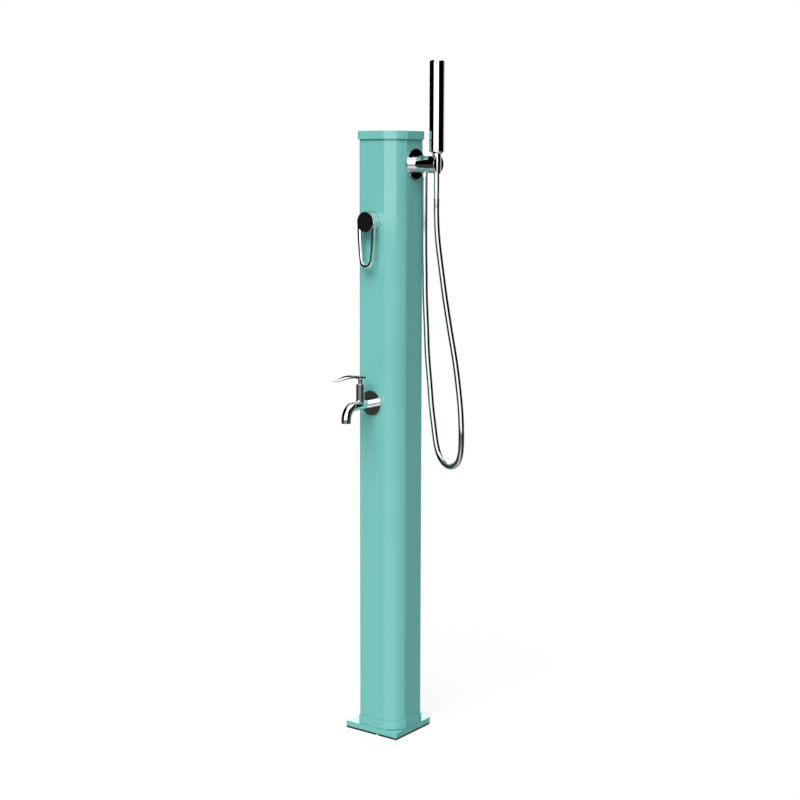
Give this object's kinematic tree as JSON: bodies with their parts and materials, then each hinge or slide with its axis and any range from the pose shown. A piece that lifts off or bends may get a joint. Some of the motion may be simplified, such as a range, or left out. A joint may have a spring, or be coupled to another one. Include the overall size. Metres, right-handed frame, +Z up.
{
  "type": "outdoor shower post",
  "caption": "Slim square outdoor shower column on a flat foot plate, with a loop-handled mixer, a swan-neck tap with a loop lever, and a stick hand shower on a hose in a side holder.",
  "frame": {"origin": "on the floor under the middle of the column, which is the middle of the four anchor holes", "axes": "+Z is up, -Y is the front with the mixer and the tap, +X is the side with the hand shower"},
  "size_m": [0.3096, 0.2701, 1.4413],
  "materials": {
    "teal_paint": "gloss powder coat, pale teal",
    "chrome": "polished chrome",
    "steel": "plain stainless steel",
    "brass": "machined brass",
    "copper": "bright copper tube",
    "rubber": "black rubber",
    "white_plastic": "white moulded plastic",
    "grey_rubber": "grey silicone nozzles",
    "hose_cover": "smooth silver hose cover"
  },
  "bodies": {
    "post": {"foot_plate": "teal_paint", "foot_collar": "teal_paint", "column": "teal_paint", "top_cap": "teal_paint", "mixer_sleeve": "chrome", "tap_rosette": "chrome", "tap_body": "chrome", "tap_aerator": "chrome", "holder_rosette": "chrome", "holder_arm": "chrome", "hose_nut": "chrome", "foot_socket": "steel", "socket_screws": "steel", "inlet_bracket": "steel", "cold_inlet": "brass", "hot_inlet": "brass", "mixer_body": "brass", "cartridge_nut": "brass", "tap_tee": "brass", "tap_headwork": "brass", "holder_elbow": "brass", "holder_nipple": "brass", "cold_pipe": "copper", "cold_riser": "copper", "hot_riser": "copper", "mixed_pipe": "copper", "floor_pad": "rubber", "mixer_cartridge": "white_plastic", "hose": "hose_cover"},
    "mixer_handle": {"mixer_handle": "chrome", "mixer_spindle": "brass", "mixer_handle_screw": "steel"},
    "tap_lever": {"tap_lever": "chrome", "tap_spindle": "chrome", "tap_lever_screw": "steel"},
    "hose_end": {"hose_cone": "chrome", "hose_ferrule": "chrome"},
    "hand_shower": {"handset_tube": "chrome", "handset_tail": "chrome", "spray_plate": "grey_rubber"}
  },
  "joints": [
    {"name": "mixer_turn", "type": "hinge", "parent": "post", "child": "mixer_handle", "pos_m": [-0.015, -0.06, 1.113], "axis": [0, -1, 0], "range_deg": [0, 100]},
    {"name": "tap_turn", "type": "hinge", "parent": "post", "child": "tap_lever", "pos_m": [-0.015, -0.0865, 0.7906], "axis": [0, 0, 1], "range_deg": [0, 90]},
    {"name": "cone_lift", "type": "slide", "parent": "post", "child": "hose_end", "axis": [0, 0, 1], "range_m": [0, 0.045]},
    {"name": "hand_shower_swivel", "type": "hinge", "parent": "hose_end", "child": "hand_shower", "pos_m": [0.106, 0.015, 1.2535], "axis": [0, 0, 1], "continuous": true}
  ]
}
